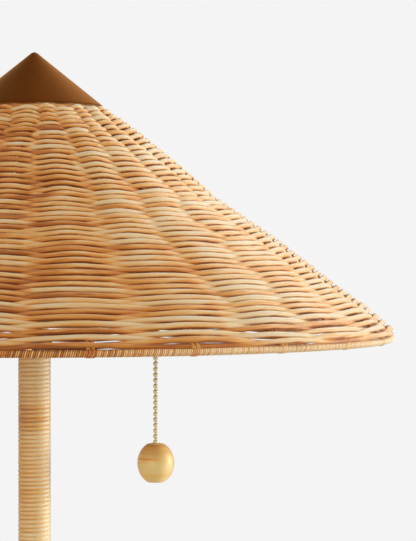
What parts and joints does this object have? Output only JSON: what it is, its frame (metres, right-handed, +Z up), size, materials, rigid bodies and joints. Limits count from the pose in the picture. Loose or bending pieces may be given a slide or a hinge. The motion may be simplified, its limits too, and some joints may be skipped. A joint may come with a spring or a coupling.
{
  "type": "rattan floor lamp",
  "caption": "Tall floor lamp with a woven rattan cone shade, a spun metal cap, a pole wound with rattan peel, pull-chain sockets and a round weighted base.",
  "frame": {"origin": "on the floor under the pole, at the centre of the base", "axes": "+Z up along the pole, the pictured side faces -Y, the two sockets and pull chains lie along +X and -X"},
  "size_m": [0.5354, 0.5354, 1.5156],
  "materials": {
    "weave_rattan": "woven round rattan core, satin",
    "rim_rattan": "wound rattan peel, satin",
    "pole_rattan": "wound rattan peel, satin",
    "base_rattan": "coiled rattan core, satin",
    "cap_metal": "satin bronze brown",
    "brass": "satin",
    "chain_brass": "polished",
    "steel": "zinc plated",
    "iron": "as cast, painted black",
    "felt": "pressed felt",
    "bushing_plastic": "matt",
    "phenolic": "moulded",
    "fibre": "pressed fibre",
    "washer_rubber": "matt",
    "ball_wood": "turned, waxed",
    "bulb_metal": "bright",
    "bulb_glass": "frosted"
  },
  "bodies": {
    "stand": {"base_pad": "felt", "base_weight": "iron", "base_cover": "base_rattan", "base_rim": "base_rattan", "base_stud": "steel", "base_washer": "steel", "base_nut": "steel", "cord_bushing": "bushing_plastic", "pole_tube_lower": "steel", "pole_tube_upper": "steel", "pole_wrap_lower": "pole_rattan", "pole_wrap_upper": "pole_rattan", "pole_collar": "base_rattan", "pole_ferrule": "brass", "pole_nipple": "steel", "cluster_body": "brass", "arm_right": "steel", "arm_left": "steel", "socket_cap_right": "brass", "socket_cap_left": "brass", "socket_shell_right": "brass", "socket_shell_left": "brass", "socket_liner_right": "fibre", "socket_liner_left": "fibre", "socket_core_right": "phenolic", "socket_core_left": "phenolic", "socket_screw_right": "brass", "socket_screw_left": "brass", "pull_spout_right": "brass", "pull_spout_left": "brass", "riser": "steel", "riser_nut": "brass"},
    "shade_seat": {"seat_washer": "washer_rubber"},
    "shade": {"weave": "weave_rattan", "rim_ring": "rim_rattan", "top_ring": "steel", "spider_hub": "steel", "spider_arm_1": "steel", "spider_arm_2": "steel", "spider_arm_3": "steel", "strut_1": "steel", "strut_2": "steel", "strut_3": "steel", "strut_4": "steel", "strut_5": "steel", "strut_6": "steel"},
    "cap_thread": {"cap_insert": "brass"},
    "cap": {"cap": "cap_metal"},
    "bulb_right": {"bulb_base_right": "bulb_metal", "bulb_glass_right": "bulb_glass"},
    "bulb_left": {"bulb_base_left": "bulb_metal", "bulb_glass_left": "bulb_glass"},
    "pull_right": {"pull_stub_right": "chain_brass"},
    "pull_left": {"pull_stub_left": "chain_brass"},
    "connector_right": {"pull_connector_right": "chain_brass"},
    "connector_left": {"pull_connector_left": "chain_brass"},
    "chain_right": {"pull_chain_right": "chain_brass", "pull_ball_right": "ball_wood"},
    "chain_left": {"pull_chain_left": "chain_brass", "pull_ball_left": "ball_wood"}
  },
  "joints": [
    {"name": "shade_lift", "type": "slide", "parent": "stand", "child": "shade_seat", "axis": [0, 0, 1], "range_m": [0, 0.15]},
    {"name": "shade_turn", "type": "hinge", "parent": "shade_seat", "child": "shade", "pos_m": [0, 0, 1.4629], "axis": [0, 0, 1], "continuous": true},
    {"name": "cap_lift", "type": "slide", "parent": "shade", "child": "cap_thread", "axis": [0, 0, 1], "range_m": [0, 0.0057]},
    {"name": "cap_turn", "type": "hinge", "parent": "cap_thread", "child": "cap", "pos_m": [0, 0, 1.4749], "axis": [0, 0, 1], "range_deg": [0, 2160]},
    {"name": "bulb_out_right", "type": "slide", "parent": "stand", "child": "bulb_right", "axis": [1, 0, 0], "range_m": [0, 0.018]},
    {"name": "bulb_out_left", "type": "slide", "parent": "stand", "child": "bulb_left", "axis": [-1, 0, 0], "range_m": [0, 0.018]},
    {"name": "pull_down_right", "type": "slide", "parent": "stand", "child": "pull_right", "axis": [0, 0, -1], "range_m": [0, 0.01], "stiffness_N_per_m": 300, "springref_m": -0.005},
    {"name": "pull_down_left", "type": "slide", "parent": "stand", "child": "pull_left", "axis": [0, 0, -1], "range_m": [0, 0.01], "stiffness_N_per_m": 300, "springref_m": -0.005},
    {"name": "swing_front_right", "type": "hinge", "parent": "pull_right", "child": "connector_right", "pos_m": [0.0908, 0, 1.2979], "axis": [1, 0, 0], "range_deg": [-20, 20]},
    {"name": "swing_front_left", "type": "hinge", "parent": "pull_left", "child": "connector_left", "pos_m": [-0.0908, 0, 1.2979], "axis": [1, 0, 0], "range_deg": [-20, 20]},
    {"name": "swing_side_right", "type": "hinge", "parent": "connector_right", "child": "chain_right", "pos_m": [0.0908, 0, 1.2909], "axis": [0, 1, 0], "range_deg": [-20, 20]},
    {"name": "swing_side_left", "type": "hinge", "parent": "connector_left", "child": "chain_left", "pos_m": [-0.0908, 0, 1.2909], "axis": [0, 1, 0], "range_deg": [-20, 20]}
  ],
  "couplings": [
    {"joint": "cap_lift", "follows": "cap_turn", "m_per_rad": 0.0001496}
  ]
}
